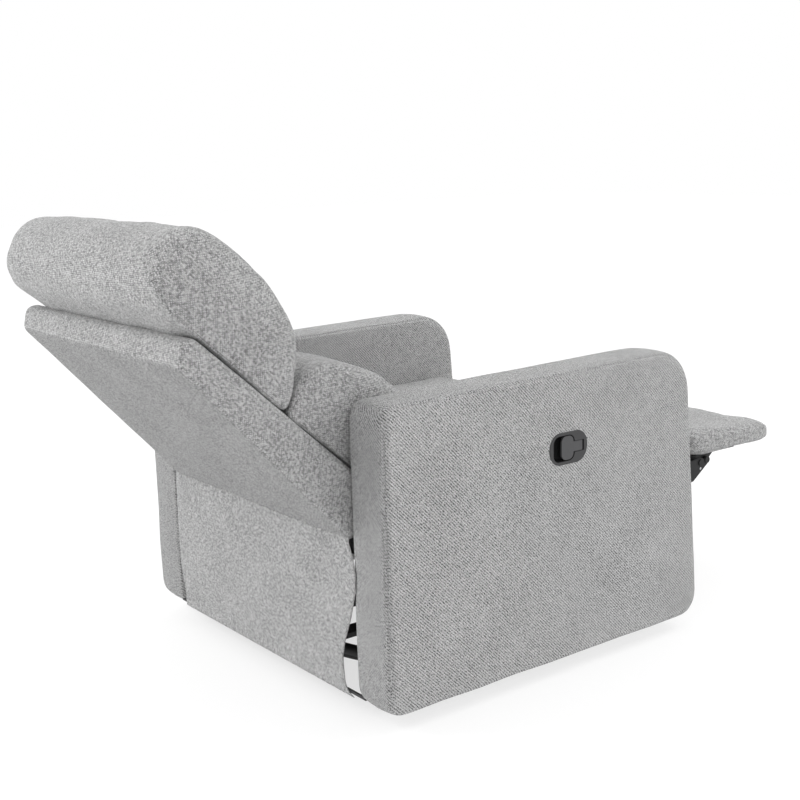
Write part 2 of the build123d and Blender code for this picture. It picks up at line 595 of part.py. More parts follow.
def make_footrest_links():
    middle = forward(MAIN_PIVOT, MAIN_LENGTH * MAIN_MIDDLE, MAIN_ANGLE)
    end = forward(MAIN_PIVOT, MAIN_LENGTH, MAIN_ANGLE)
    heel = forward(middle, -CARRIER_HEEL, CARRIER_ANGLE + CARRIER_HEEL_TURN)
    pad_rear = (PAD_REAR_Y + PAD_PIVOT_REAR[0], BOARD_BOTTOM_Z + PAD_PIVOT_REAR[1])
    pad_front = (PAD_REAR_Y + PAD_PIVOT_FRONT[0], BOARD_BOTTOM_Z + PAD_PIVOT_FRONT[1])
    elbow = (pad_front[0] + STRUT_ELBOW[0], pad_front[1] + STRUT_ELBOW[1])
    bar_at = forward(middle, CROSS_BAR_REACH, CARRIER_ANGLE)
    bar_at = forward(bar_at, CROSS_BAR_RISE, CARRIER_ANGLE + 90)
    hole = LINK_PIN_RADIUS + FIT
    open_hole = hole + LOOP_PLAY
    main = bar([MAIN_PIVOT, middle, end], LINK_WIDTH, *MAIN_LAYER,
               [(MAIN_PIVOT, hole), (middle, hole), (end, hole)])
    save("footrest_main_links", *both_sides([main]))
    tube = pin(bar_at, -CARRIER_LAYER[0], CARRIER_LAYER[0], CROSS_BAR_RADIUS)
    tube = tube - pin(bar_at, -CARRIER_LAYER[1], CARRIER_LAYER[1], CROSS_BAR_RADIUS - 1.5)
    save("footrest_cross_tube", tube.solid())
    carrier = bar([middle, heel, pad_rear], LINK_WIDTH, *CARRIER_LAYER,
                  [(middle, hole), (heel, LINK_PIN_RADIUS), (pad_rear, hole)])
    save("footrest_carrier_links", *both_sides([carrier]))
    strut = bar([end, elbow, pad_front], LINK_WIDTH - 4, *STRUT_LAYER,
                [(end, hole), (pad_front, open_hole)])
    gusset = across(outline([(elbow[0] - 30, elbow[1] + 14), (elbow[0] - 28, elbow[1] + 22),
                             (elbow[0] + 8, elbow[1] + 22), (elbow[0] + 8, elbow[1] - 2),
                             (elbow[0] - 6, elbow[1] - 4)]), *STRUT_LAYER)
    strut = (strut + gusset).solid()
    save("footrest_struts", *both_sides([strut]))
    rivet_at = forward(elbow, STRUT_RIVET_REACH, STRUT_SLOPE)
    rivet = pin(rivet_at, STRUT_LAYER[1], STRUT_LAYER[1] + 1.2, 2.6)
    save("strut_rivets", *both_sides([rivet]))
    control = bar([CONTROL_PIVOT, heel], LINK_WIDTH, *STRUT_LAYER,
                  [(CONTROL_PIVOT, hole), (heel, open_hole)])
    save("footrest_control_links", *both_sides([control]))
    radius = LINK_PIN_RADIUS
    fixed = [pin(MAIN_PIVOT, MAIN_LAYER[0] - 0.5, PLATE_OUTER_X + 1.0, radius)
             + pin(MAIN_PIVOT, MAIN_LAYER[0] - 2.0, MAIN_LAYER[0] - 0.5, radius + 3),
             pin(CONTROL_PIVOT, STRUT_LAYER[0] - 0.5, PLATE_OUTER_X + 1.0, radius)
             + pin(CONTROL_PIVOT, STRUT_LAYER[0] - 2.5, STRUT_LAYER[0] - 0.5, radius + 3)]
    save("footrest_plate_pins", *both_sides([p.solid() for p in fixed]))
    riding = [pin(middle, CARRIER_LAYER[0] - 0.5, MAIN_LAYER[1], radius)
              + pin(middle, MAIN_LAYER[1], MAIN_LAYER[1] + 1.5, radius + 3),
              pin(end, STRUT_LAYER[0] - 0.5, MAIN_LAYER[1], radius)
              + pin(end, MAIN_LAYER[1], MAIN_LAYER[1] + 1.5, radius + 3)]
    save("footrest_main_pins", *both_sides([p.solid() for p in riding]))
    heel_pin = pin(heel, STRUT_LAYER[0] - 0.5, CARRIER_LAYER[1], radius) + pin(
        heel, CARRIER_LAYER[1], CARRIER_LAYER[1] + 1.5, radius + 3)
    save("footrest_heel_pins", *both_sides([heel_pin.solid()]))
    pad_pins = [pin(pad_rear, BRACKET_LAYER[0], CARRIER_LAYER[1] + 0.5, radius)
                + pin(pad_rear, CARRIER_LAYER[1] + 0.5, CARRIER_LAYER[1] + 2.0, radius + 3),
                pin(pad_front, BRACKET_LAYER[0], STRUT_LAYER[1] + 0.3, radius)
                + pin(pad_front, STRUT_LAYER[1] + 0.3, STRUT_LAYER[1] + 1.6, radius + 3)]
    save("footrest_pad_pins", *both_sides([p.solid() for p in pad_pins]))
    top = BOARD_BOTTOM_Z
    face = outline([(pad_rear[0] + 24, top), (pad_front[0] - 26, top),
                    (pad_front[0] - 9, pad_front[1] - 1), (pad_front[0] - 7, pad_front[1] - 10),
                    (pad_rear[0] + 12, pad_rear[1] - 10)], [0, 0, 6, 6, 8])
    plate = across(face, *BRACKET_LAYER)
    for point in (pad_rear, pad_front):
        plate = plate - pin(point, BRACKET_LAYER[0] - 1, BRACKET_LAYER[1] + 1, radius)
    flange = box(BRACKET_LAYER[0] - 22, BRACKET_LAYER[0], PAD_REAR_Y - 160, PAD_REAR_Y - 20,
                 top - 3, top)
    bracket = (plate + flange).solid()
    save("footrest_brackets", *both_sides([bracket]))


def make_footrest_pad():
    board = box(-PAD_HALF_WIDTH + 8, PAD_HALF_WIDTH - 8, PAD_FRONT_Y + 8, PAD_REAR_Y,
                BOARD_BOTTOM_Z, BOARD_BOTTOM_Z + BOARD_THICKNESS)
    board = fillet(board.edges().filter_by(Axis.Z), 30)
    save("footrest_board", board.solid())
    low = BOARD_BOTTOM_Z + BOARD_THICKNESS + GAP
    face = outline([(PAD_REAR_Y, low), (PAD_REAR_Y, PAD_TOP_REAR_Z), (PAD_FRONT_Y, PAD_TOP_FRONT_Z),
                    (PAD_FRONT_Y, low)], [4, 16, 12, 6])
    pad = across(face, -PAD_HALF_WIDTH, PAD_HALF_WIDTH)
    plan = extrude(Pos(0, (PAD_FRONT_Y + PAD_REAR_Y) / 2, low - 1) * RectangleRounded(
        2 * PAD_HALF_WIDTH, PAD_REAR_Y - PAD_FRONT_Y, 38), 80)
    save("footrest_pad", (pad & plan).solid())
    screws = []
    for y in (PAD_REAR_Y - 50, PAD_REAR_Y - 130):
        x = BRACKET_LAYER[0] - 12
        head = Pos(x, y, BOARD_BOTTOM_Z - 4.2) * Cylinder(5, 2.4)
        screws.append(head.solid())
    save("footrest_screws", *both_sides(screws))


make_base()
make_turntable()
make_glide_links()
make_glide_frame()
make_mechanism_plates()
make_seat_frame()
make_seat_springs()
make_seat_cushion()
make_arms()
make_handle()
make_skirt()
make_back()
make_back_springs()
make_back_cushions()
make_footrest_links()
make_footrest_pad()
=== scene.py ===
import json
import math

import bmesh
import bpy
import numpy as np
from mathutils import Matrix, Vector


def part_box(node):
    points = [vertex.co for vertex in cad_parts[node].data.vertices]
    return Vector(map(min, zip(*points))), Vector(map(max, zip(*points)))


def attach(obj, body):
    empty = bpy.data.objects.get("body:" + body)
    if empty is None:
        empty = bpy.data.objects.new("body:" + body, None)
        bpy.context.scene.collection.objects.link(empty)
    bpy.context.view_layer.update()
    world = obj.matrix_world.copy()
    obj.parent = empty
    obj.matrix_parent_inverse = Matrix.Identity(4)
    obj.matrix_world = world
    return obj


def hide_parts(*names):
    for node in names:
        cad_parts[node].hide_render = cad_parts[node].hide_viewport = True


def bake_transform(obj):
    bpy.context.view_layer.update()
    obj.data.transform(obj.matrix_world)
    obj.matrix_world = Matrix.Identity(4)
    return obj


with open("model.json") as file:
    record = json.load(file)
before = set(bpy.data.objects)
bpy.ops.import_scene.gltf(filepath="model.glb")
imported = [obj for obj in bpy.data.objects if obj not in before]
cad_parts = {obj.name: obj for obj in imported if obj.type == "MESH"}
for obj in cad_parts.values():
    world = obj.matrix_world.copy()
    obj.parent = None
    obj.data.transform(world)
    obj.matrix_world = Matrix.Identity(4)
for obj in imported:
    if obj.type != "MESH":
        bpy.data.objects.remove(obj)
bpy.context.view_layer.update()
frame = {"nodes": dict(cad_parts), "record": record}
NODES = frame["nodes"]
MM = 0.001

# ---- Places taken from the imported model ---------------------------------
ARM_LOW, ARM_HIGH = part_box("arm_cover_left")
SEAT_LOW, SEAT_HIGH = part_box("seat_cushion")
PAD_LOW, PAD_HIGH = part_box("footrest_pad")
BOARD_LOW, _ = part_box("footrest_board")
SKIRT_LOW, SKIRT_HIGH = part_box("rear_skirt")
BEZEL_LOW, BEZEL_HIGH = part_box("handle_bezel")
CLOTH_LOW, CLOTH_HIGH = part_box("crevice_cloth")
BACK_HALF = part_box("back_cover")[1].x

# The back's seam line in side view (Y, Z): cushions lie in front of it
SEAM_LOW = np.array([381.0, 444.0]) * MM
SEAM_HIGH = np.array([649.0, 687.0]) * MM
SEAM_UP = (SEAM_HIGH - SEAM_LOW) / np.linalg.norm(SEAM_HIGH - SEAM_LOW)
SEAM_OUT = np.array([-SEAM_UP[1], SEAM_UP[0]])
BACK_TILT = math.atan2(SEAM_UP[1], SEAM_UP[0])
FREE_SIDE_PASSES = 70                  # smoothing of a pillow's outline
ARM_FRONT_EASE = 7 * MM                # the arms' padding past their panels
ARM_REAR_EASE = 8 * MM
FOOTREST_FRONT_EASE = 9 * MM


# ---- Camera and light ---------------------------------------------------
def make_camera():
    """The view: azimuth 233 degrees, 11.5 above the horizon, with a slight roll."""
    azimuth, elevation, roll = (math.radians(a) for a in (233.04, 11.47, -1.59))
    back = Vector((math.sin(azimuth) * math.cos(elevation),
                   -math.cos(azimuth) * math.cos(elevation), math.sin(elevation)))
    right = (-back).cross(Vector((0, 0, 1))).normalized()
    up = right.cross(-back)
    axis_x = math.cos(roll) * right + math.sin(roll) * up
    axis_y = math.cos(roll) * up - math.sin(roll) * right
    camera = bpy.data.objects.new("camera", bpy.data.cameras.new("camera"))
    bpy.context.scene.collection.objects.link(camera)
    place = Matrix((axis_x, axis_y, back)).transposed().to_4x4()
    place.translation = Vector((-2.00629, 1.55243, 0.97216))
    camera.matrix_world = place
    camera.data.sensor_width = 36.0
    camera.data.lens = 58.22
    bpy.context.scene.camera = camera


def area_light(name, place, target, size, power):
    lamp = bpy.data.lights.new(name, "AREA")
    lamp.shape = "DISK"
    lamp.size = size
    lamp.energy = power
    obj = bpy.data.objects.new(name, lamp)
    bpy.context.scene.collection.objects.link(obj)
    obj.location = place
    obj.rotation_euler = (Vector(target) - Vector(place)).to_track_quat("-Z", "Y").to_euler()


def make_light():
    world = bpy.data.worlds.new("studio")
    world.use_nodes = True
    background = world.node_tree.nodes["Background"]
    background.inputs["Color"].default_value = (1, 1, 1, 1)
    background.inputs["Strength"].default_value = 1.0
    bpy.context.scene.world = world
    bpy.context.scene.view_settings.view_transform = "Standard"
    area_light("key", (2.2, 3.0, 2.6), (0, 0, 0.4), 2.0, 66)
    area_light("fill", (-1.3, -2.2, 2.5), (0.1, -0.3, 0.4), 1.6, 24)
    floor_mesh = bpy.data.meshes.new("floor")
    half = 14.0
    corners = [(-half, -half, 0), (half, -half, 0), (half, half, 0), (-half, half, 0)]
    floor_mesh.from_pydata(corners, [], [(0, 1, 2, 3)])
    floor = bpy.data.objects.new("floor", floor_mesh)
    bpy.context.scene.collection.objects.link(floor)
    paint = Shader("floor_pale")
    paint.surface.inputs["Base Color"].default_value = (0.35, 0.35, 0.35, 1)
    paint.surface.inputs["Roughness"].default_value = 0.9
    paint.surface.inputs["Specular IOR Level"].default_value = 0.0
    paint.surface.inputs["Emission Color"].default_value = (1, 1, 1, 1)
    paint.surface.inputs["Emission Strength"].default_value = 0.68
    floor_mesh.materials.append(paint.material)


# ---- Materials ----------------------------------------------------------
class Shader:
    """A material with one Principled surface and short calls to add nodes."""

    def __init__(self, name):
        self.material = bpy.data.materials.new(name)
        self.material.use_nodes = True
        self.tree = self.material.node_tree
        self.surface = self.tree.nodes["Principled BSDF"]

    def add(self, kind, inputs=(), **settings):
        node = self.tree.nodes.new(kind)
        for key, value in settings.items():
            setattr(node, key, value)
        for slot, value in dict(inputs).items():
            self.set(node.inputs[slot], value)
        return node

    def set(self, socket, value):
        if isinstance(value, bpy.types.NodeSocket):
            self.tree.links.new(value, socket)
        else:
            socket.default_value = value

    def math(self, operation, a, b=0.0):
        return self.add("ShaderNodeMath", {0: a, 1: b}, operation=operation).outputs[0]

    def mix(self, factor, a, b):
        """A blend of two numbers."""
        node = self.add("ShaderNodeMix", {0: factor, 2: a, 3: b})
        return node.outputs[0]

    def noise(self, vector, scale, detail=2.0, roughness=0.5):
        node = self.add("ShaderNodeTexNoise", {"Vector": vector, "Scale": scale, "Detail": detail,
                                               "Roughness": roughness})
        return node.outputs["Fac"]

    def ramp(self, factor, stops):
        node = self.add("ShaderNodeValToRGB", {0: factor})
        elements = node.color_ramp.elements
        while len(elements) < len(stops):
            elements.new(0.5)
        for element, (place, tone) in zip(elements, stops):
            element.position = place
            element.color = (*tone, 1) if isinstance(tone, tuple) else (tone, tone, tone, 1)
        return node.outputs[0]

    def bump(self, height, strength, distance):
        node = self.add("ShaderNodeBump", {"Height": height, "Strength": strength,
                                           "Distance": distance})
        self.set(self.surface.inputs["Normal"], node.outputs[0])


def tweed(name, tones, pitch=3.4 * MM, contrast=1.0, relief=1.0, pattern_and_groove_shade=1.0, twill=False):
    """Heathered basket-weave or twill cloth, with painted shade in the grooves between threads. tones
    are the dark, middle and light yarns.
    """
    s = Shader(name)
    uv = s.add("ShaderNodeUVMap", uv_map="weave").outputs[0]
    split = s.add("ShaderNodeSeparateXYZ", {0: uv})
    warp = s.math("MULTIPLY", split.outputs[0], 1 / pitch)
    weft = s.math("MULTIPLY", split.outputs[1], 1 / pitch)
    cell_u, cell_v = s.math("FLOOR", warp), s.math("FLOOR", weft)
    if twill:
        over = s.math("FLOORED_MODULO", s.math("SUBTRACT", cell_u, cell_v), 4.0)
        over = s.math("GREATER_THAN", over, 1.5)
    else:
        over = s.math("MODULO", s.math("ABSOLUTE", s.math("ADD", cell_u, cell_v)), 2.0)
    thread_u = s.math("SINE", s.math("MULTIPLY", s.math("FRACT", warp), math.pi))
    thread_v = s.math("SINE", s.math("MULTIPLY", s.math("FRACT", weft), math.pi))
    rise_u = s.math("MULTIPLY", thread_u, s.mix(over, 1.0, 0.35))
    rise_v = s.math("MULTIPLY", thread_v, s.mix(over, 0.35, 1.0))
    height = s.math("MAXIMUM", rise_u, rise_v)
    cell = s.add("ShaderNodeCombineXYZ", {0: cell_u, 1: cell_v, 2: over}).outputs[0]
    yarn = s.add("ShaderNodeTexWhiteNoise", {"Vector": cell}).outputs["Value"]
    slub_place = s.add("ShaderNodeCombineXYZ", {0: s.math("MULTIPLY", warp, 0.35), 1: weft}).outputs[0]
    slub = s.noise(slub_place, 0.8, 2.0)
    fleck = s.noise(uv, 420.0, 3.0, 0.75)
    patch = s.noise(uv, 9.0, 2.0)
    # The thread height's share is painted shade: darker grooves between threads and lighter thread
    # crowns. The other shares are the yarns' own tones and the weave pattern.
    shares = ((yarn, 0.5, 0.42), (slub, 0.5, 0.50), (fleck, 0.5, 0.75), (height, 0.6, 0.55 * pattern_and_groove_shade),
              (over, 0.5, 0.22 * pattern_and_groove_shade), (patch, 0.5, 0.16))
    blend = 0.5
    for value, middle, share in shares:
        part = s.math("MULTIPLY", s.math("SUBTRACT", value, middle), share * contrast)
        blend = s.math("ADD", blend, part)
    colour = s.ramp(blend, [(0.05, tones[0]), (0.5, tones[1]), (0.95, tones[2])])
    shade = s.add("ShaderNodeAttribute", attribute_name="shade").outputs["Fac"]
    toned = s.add("ShaderNodeMix", {0: 1.0, 6: colour, 7: shade}, data_type="RGBA",
                  blend_type="MULTIPLY").outputs[2]
    s.set(s.surface.inputs["Base Color"], toned)
    s.set(s.surface.inputs["Roughness"], s.ramp(height, [(0.0, 0.98), (1.0, 0.86)]))
    s.surface.inputs["Sheen Weight"].default_value = 0.22
    s.surface.inputs["Sheen Roughness"].default_value = 0.45
    s.surface.inputs["Specular IOR Level"].default_value = 0.25
    fuzz = s.noise(uv, 900.0, 2.0, 0.6)
    s.bump(s.math("ADD", height, s.math("MULTIPLY", fuzz, 0.5)), 0.85 * relief, 0.9 * MM)
    return s.material


def painted_steel(name, tone=0.010):
    """Satin black powder coat, a little rubbed in scattered spots."""
    s = Shader(name)
    place = s.add("ShaderNodeTexCoord").outputs["Object"]
    grain = s.noise(place, 900.0, 2.0)
    cloud = s.noise(place, 14.0, 3.0)
    rubbed = s.ramp(s.noise(place, 160.0, 4.0, 0.7), [(0.66, 0.0), (0.80, 0.5)])
    base = s.mix(cloud, tone * 0.8, tone * 1.3)
    shade = s.mix(rubbed, base, 0.06)
    s.surface.inputs["Specular IOR Level"].default_value = 0.3
    colour = s.add("ShaderNodeCombineColor", {0: shade, 1: shade, 2: s.math("MULTIPLY", shade, 1.04)})
    s.set(s.surface.inputs["Base Color"], colour.outputs[0])
    s.set(s.surface.inputs["Roughness"], s.mix(cloud, 0.36, 0.52))
    s.bump(grain, 0.25, 0.2 * MM)
    return s.material


def bright_steel(name, tone=0.55, rough=0.3):
    """Zinc-plated or oiled steel with fine brushing."""
    s = Shader(name)
    place = s.add("ShaderNodeTexCoord").outputs["Object"]
    stretch = s.add("ShaderNodeMapping", {"Vector": place, "Scale": (6.0, 60.0, 60.0)}).outputs[0]
    brush = s.noise(stretch, 30.0, 3.0)
    cloud = s.noise(place, 40.0, 3.0)
    s.surface.inputs["Metallic"].default_value = 1.0
    shade = s.mix(cloud, tone * 0.85, tone * 1.1)
    colour = s.add("ShaderNodeCombineColor", {0: shade, 1: shade, 2: s.math("MULTIPLY", shade, 1.03)})
    s.set(s.surface.inputs["Base Color"], colour.outputs[0])
    s.set(s.surface.inputs["Roughness"], s.mix(brush, rough, rough + 0.18))
    s.bump(brush, 0.15, 0.1 * MM)
    return s.material


def moulded_plastic(name, tone):
    """Charcoal plastic with a fine spark-eroded grain."""
    s = Shader(name)
    place = s.add("ShaderNodeTexCoord").outputs["Object"]
    grain = s.noise(place, 2200.0, 2.0, 0.6)
    cloud = s.noise(place, 60.0, 2.0)
    shade = s.mix(cloud, tone * 0.9, tone * 1.12)
    colour = s.add("ShaderNodeCombineColor", {0: shade, 1: shade, 2: s.math("MULTIPLY", shade, 1.05)})
    s.set(s.surface.inputs["Base Color"], colour.outputs[0])
    s.set(s.surface.inputs["Roughness"], s.mix(grain, 0.38, 0.55))
    s.bump(grain, 0.3, 0.12 * MM)
    return s.material


def wood(name, pale, dark, rings=9.0):
    """Sawn wood or plywood, with grain along X and Y."""
    s = Shader(name)
    place = s.add("ShaderNodeTexCoord").outputs["Object"]
    stretch = s.add("ShaderNodeMapping", {"Vector": place, "Scale": (2.0, 2.0, 40.0)}).outputs[0]
    warpy = s.noise(stretch, 3.0, 4.0, 0.6)
    bands = s.math("FRACT", s.math("MULTIPLY", warpy, rings))
    fine = s.noise(stretch, 60.0, 3.0, 0.7)
    grain = s.math("ADD", s.math("MULTIPLY", bands, 0.55), s.math("MULTIPLY", fine, 0.45))
    s.set(s.surface.inputs["Base Color"], s.ramp(grain, [(0.1, pale), (0.9, dark)]))
    s.set(s.surface.inputs["Roughness"], s.mix(fine, 0.6, 0.8))
    s.bump(fine, 0.3, 0.3 * MM)
    return s.material


def rubber(name):
    s = Shader(name)
    place = s.add("ShaderNodeTexCoord").outputs["Object"]
    dust = s.noise(place, 70.0, 4.0, 0.7)
    s.set(s.surface.inputs["Base Color"], s.ramp(dust, [(0.4, 0.015), (0.8, 0.05)]))
    s.set(s.surface.inputs["Roughness"], s.mix(dust, 0.75, 0.95))
    s.bump(s.noise(place, 700.0, 2.0), 0.3, 0.2 * MM)
    return s.material


def plain_cloth(name, dark, light, pitch):
    """A thin black or grey backing cloth with a fine plain weave."""
    return tweed(name, (dark, (dark + light) / 2, light), pitch=pitch, contrast=0.5, relief=0.6)


def paint_cad_nodes():
    """Finer materials for every CAD node that stays in view."""
    black = painted_steel("black_powder_coat")
    zinc = bright_steel("zinc_plate")
    wire = bright_steel("oiled_wire", 0.22, 0.35)
    softwood = wood("raw_softwood", (0.62, 0.45, 0.26), (0.44, 0.29, 0.15))
    ply = wood("raw_plywood", (0.55, 0.40, 0.24), (0.40, 0.27, 0.15), 5.0)
    looks = {
        "black_steel": black, "bright_steel": zinc, "spring_steel": wire,
        "softwood": softwood, "plywood": ply, "rubber": rubber("pad_rubber"),
        "charcoal_plastic": moulded_plastic("charcoal_moulding", 0.030),
        "black_cloth": moulded_plastic("black_batten", 0.02),
    }
    slots = {s["node"]: s["material_slot"] for s in frame["record"]["subparts"]}
    for name, obj in NODES.items():
        material = looks.get(slots[name])
        if material:
            wear(obj, material)
    wear(NODES["release_paddle"], moulded_plastic("paddle_moulding", 0.055))


def wear(obj, material):
    """Puts the material on every material slot of the object."""
    if not obj.data.materials:
        obj.data.materials.append(material)
    for index in range(len(obj.data.materials)):
        obj.data.materials[index] = material


# ---- Soft shapes --------------------------------------------------------
def rounded_loop(corners, radii, step):
    """Evenly spaced points round a polygon with rounded corners, counter-clockwise."""
    corners = [np.array(c, float) for c in corners]
    if np.ndim(radii) == 0:
        radii = [radii] * len(corners)
    path = []
    for i, (corner, radius) in enumerate(zip(corners, radii)):
        before = corners[i - 1] - corner
        after = corners[(i + 1) % len(corners)] - corner
        before, after = before / np.linalg.norm(before), after / np.linalg.norm(after)
        half = math.acos(np.clip(before @ after, -1, 1)) / 2
        middle = before + after
        middle /= np.linalg.norm(middle)
        centre = corner + middle * radius / math.sin(half)
        start = corner + before * radius / math.tan(half) - centre
        end = corner + after * radius / math.tan(half) - centre
        sweep = math.pi - 2 * half
        count = max(2, int(radius * sweep / step) + 2)
        for k in range(count):
            f = k / (count - 1)
            arm = (math.sin((1 - f) * sweep) * start + math.sin(f * sweep) * end) / math.sin(sweep)
            path.append(centre + arm)
    path = np.array(path)
    following = np.roll(path, -1, 0)
    area = np.sum(path[:, 0] * following[:, 1] - following[:, 0] * path[:, 1])
    if area < 0:
        path = path[::-1]
    return resample(path, step)


def resample(path, step):
    """The closed path again, with even spacing near step."""
    closed = np.vstack([path, path[:1]])
    reach = np.concatenate([[0], np.cumsum(np.linalg.norm(np.diff(closed, axis=0), axis=1))])
    count = int(round(reach[-1] / step))
    places = np.linspace(0, reach[-1], count, endpoint=False)
    return np.stack([np.interp(places, reach, closed[:, k]) for k in range(2)], 1)


def outward(loop):
    """Unit outward normals of a counter-clockwise loop."""
    along = np.roll(loop, -1, 0) - np.roll(loop, 1, 0)
    normal = np.stack([along[:, 1], -along[:, 0]], 1)
    return normal / np.linalg.norm(normal, axis=1)[:, None]


def respace(path):
    """The same closed path with its points evenly spread, starting at the same place."""
    closed = np.vstack([path, path[:1]])
    reach = np.concatenate([[0], np.cumsum(np.linalg.norm(np.diff(closed, axis=0), axis=1))])
    places = np.linspace(0, reach[-1], len(path), endpoint=False)
    return np.stack([np.interp(places, reach, closed[:, k]) for k in range(2)], 1)


def grow(loop, amount):
    """The loop moved outwards, or inwards where amount is negative, in small smooth steps."""
    steps = max(1, math.ceil(abs(amount) / (1.5 * MM)))
    for _ in range(steps):
        loop = loop + outward(loop) * (amount / steps)
        if amount < -3 * MM:
            loop = 0.5 * loop + 0.25 * (np.roll(loop, 1, 0) + np.roll(loop, -1, 0))
            loop = respace(loop)
    return loop


class Pillow:
    """A closed stuffed shape: a loop in Y and Z carried along X, with rounded ends.

    With upright=True the loop lies in X and Y and is carried up Z instead."""

    def __init__(self, loop, low, high, radius, step=8 * MM, crown=0.0, end_crown=0.0,
                 seam_depth=1.8 * MM, seam_turn=0.5, upright=False, tight=None):
        self.upright = upright
        self.tight = np.ones(len(loop)) if tight is None else tight
        ends = self.end_rows(loop, radius, step, end_crown, seam_depth, seam_turn)
        rows = [(ring, low + depth) for ring, depth in ends]
        count = max(3, int((high - low - 2 * radius) / step))
        for k in range(1, count):
            f = k / count
            bulge = crown * (1 - (2 * f - 1) ** 2)
            place = low + radius + f * (high - low - 2 * radius)
            rows.append((loop + outward(loop) * bulge, np.full(len(loop), place)))
        rows += [(ring, high - depth) for ring, depth in reversed(ends)]
        self.rows = rows

    def end_rows(self, loop, radius, step, end_crown, seam_depth, seam_turn):
        """One end, from near its middle out over the rounded edge, with the seam's groove."""
        rim = loop + (grow(loop, -radius) - loop) * self.tight[:, None]
        middle = rim.mean(0)
        reach = np.linalg.norm(rim - middle, axis=1).mean()
        count = max(4, int(reach / (1.6 * step)))
        rows = []
        for k in range(1, count + 1):
            f = k / count
            sink = np.full(len(loop), -end_crown * (1 - f ** 2.5))
            rows.append((middle + (rim - middle) * f, sink))
        seam_at = seam_turn * math.pi / 2
        spread = 2.4 * MM / radius
        turns = list(np.linspace(0, math.pi / 2, 7)[1:])
        turns = [t for t in turns if abs(t - seam_at) > 2.2 * spread]
        turns += [seam_at - 1.6 * spread, seam_at - 0.7 * spread, seam_at,
                  seam_at + 0.7 * spread, seam_at + 1.6 * spread]
        for turn in sorted(t for t in turns if 0 < t <= math.pi / 2):
            dip = seam_depth * math.exp(-((turn - seam_at) / (0.75 * spread)) ** 2)
            inset = radius * (1 - math.sin(turn))
            f = inset / radius
            ring = loop * (1 - f) + rim * f
            ring = ring - outward(ring) * dip * math.sin(turn)
            depth = radius * (1 - math.cos(turn)) * self.tight + dip * math.cos(turn)
            rows.append((ring, depth))
        return rows

    def build(self, name):
        count = len(self.rows[0][0])
        points = []
        for ring, places in self.rows:
            points += [self.point(p, place) for p, place in zip(ring, places)]
        faces = []
        for r in range(len(self.rows) - 1):
            for k in range(count):
                n = (k + 1) % count
                faces.append((r * count + k, r * count + n, (r + 1) * count + n,
                              (r + 1) * count + k))
        last = (len(self.rows) - 1) * count
        for k in range(count // 2):
            for base in (0, last):
                corners = dict.fromkeys((k, k + 1, count - 2 - k, count - 1 - k))
                if len(corners) > 2:
                    faces.append(tuple(base + c for c in corners))
        return make_object(name, points, faces)

    def point(self, p, place):
        return (p[0], p[1], place) if self.upright else (place, p[0], p[1])


def make_object(name, points, faces):
    """A smooth-shaded object whose faces all point outwards."""
    mesh = bpy.data.meshes.new(name)
    mesh.from_pydata([tuple(map(float, p)) for p in points], [], faces)
    work = bmesh.new()
    work.from_mesh(mesh)
    bmesh.ops.recalc_face_normals(work, faces=work.faces)
    work.to_mesh(mesh)
    work.free()
    obj = bpy.data.objects.new(name, mesh)
    bpy.context.scene.collection.objects.link(obj)
    for polygon in mesh.polygons:
        polygon.use_smooth = True
    return obj


def grid_faces(rows, columns):
    """The four-sided faces of a sheet whose points run along each row in turn."""
    faces = []
    for r in range(rows - 1):
        for c in range(columns - 1):
            a = r * columns + c
            faces.append((a, a + 1, a + columns + 1, a + columns))
    return faces


def points_of(obj):
    co = np.zeros(len(obj.data.vertices) * 3)
    obj.data.vertices.foreach_get("co", co)
    return co.reshape(-1, 3)


def set_points(obj, co):
    obj.data.vertices.foreach_set("co", co.ravel())
    obj.data.update()


def normals_of(obj):
    normal = np.zeros(len(obj.data.vertices) * 3)
    obj.data.vertex_normals.foreach_get("vector", normal)
    return normal.reshape(-1, 3)


def apply_modifiers(obj):
    depsgraph = bpy.context.evaluated_depsgraph_get()
    mesh = bpy.data.meshes.new_from_object(obj.evaluated_get(depsgraph))
    obj.modifiers.clear()
    old = obj.data
    obj.data = mesh
    bpy.data.meshes.remove(old)


def subdivide(obj, levels=1):
    modifier = obj.modifiers.new("smooth", "SUBSURF")
    modifier.levels = modifier.render_levels = levels
    apply_modifiers(obj)


def smooth_noise(co, scale, seed):
    """Soft random waves, from -1 to 1, from a few seeded plane waves."""
    rng = np.random.default_rng(seed)
    total = np.zeros(len(co))
    for _ in range(14):
        direction = rng.normal(size=3)
        direction /= np.linalg.norm(direction)
        pitch = scale * rng.uniform(0.6, 1.7)
        total += np.sin(co @ direction * 2 * math.pi / pitch + rng.uniform(0, 2 * math.pi))
    return total / 5.0


def rumple(obj, size, depth, seed):
    """Moves the cloth in and out a little, as loosely stuffed padding does."""
    co = points_of(obj)
    shift = smooth_noise(co, size, seed) * depth
    set_points(obj, co + normals_of(obj) * shift[:, None])


